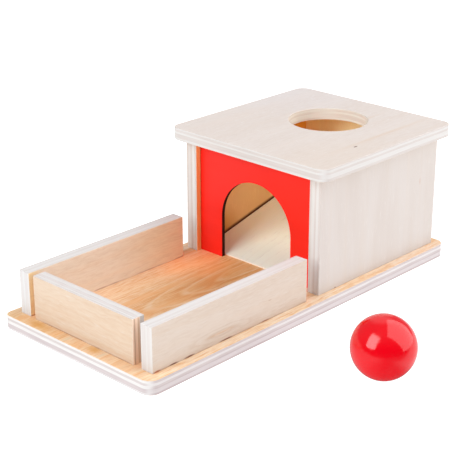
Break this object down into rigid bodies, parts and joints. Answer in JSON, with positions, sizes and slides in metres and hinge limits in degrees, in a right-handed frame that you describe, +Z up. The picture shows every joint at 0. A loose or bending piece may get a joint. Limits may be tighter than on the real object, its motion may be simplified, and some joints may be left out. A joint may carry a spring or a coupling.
{
  "type": "object permanence box",
  "caption": "Wooden toy box with a round ball hole in the lid, a hidden ramp, an arched red front panel and an open tray, with a loose red ball.",
  "frame": {"origin": "centre of the base board's underside, on the surface that the toy stands on", "axes": "+X along the base from the tray's open end to the box, +Y to the left when looking along +X, +Z up"},
  "size_m": [0.305, 0.2471, 0.104],
  "materials": {
    "plywood": "pale birch or basswood plywood, sanded, clear matt to satin seal, plies showing on the edges",
    "ramp_plywood": "thin pale plywood, sanded smooth",
    "batten_wood": "plain sawn softwood strip",
    "red_panel_paint": "bright red satin paint on thin plywood, the cut edge of the arch burnt dark brown",
    "red_ball_lacquer": "glossy red lacquer on turned wood",
    "dowel_beech": "plain beech dowel rod"
  },
  "bodies": {
    "box": {"base_board": "plywood", "tray_wall_left": "plywood", "tray_wall_right": "plywood", "tray_end_wall": "plywood", "box_side_left": "plywood", "box_side_right": "plywood", "box_back_panel": "plywood", "lid": "plywood", "front_panel": "red_panel_paint", "ramp_board": "ramp_plywood", "ramp_batten": "batten_wood", "tray_left_dowels": "dowel_beech", "tray_right_dowels": "dowel_beech", "tray_end_dowels": "dowel_beech", "box_left_dowels": "dowel_beech", "box_right_dowels": "dowel_beech", "back_foot_dowels": "dowel_beech", "back_left_dowels": "dowel_beech", "back_right_dowels": "dowel_beech", "lid_left_dowels": "dowel_beech", "lid_right_dowels": "dowel_beech", "lid_back_dowels": "dowel_beech"},
    "ball": {"ball": "red_ball_lacquer"}
  },
  "joints": [
    {"name": "ball_lift", "type": "slide", "parent": "box", "child": "ball", "axis": [0, 0, 1], "range_m": [0, 0.15]}
  ]
}
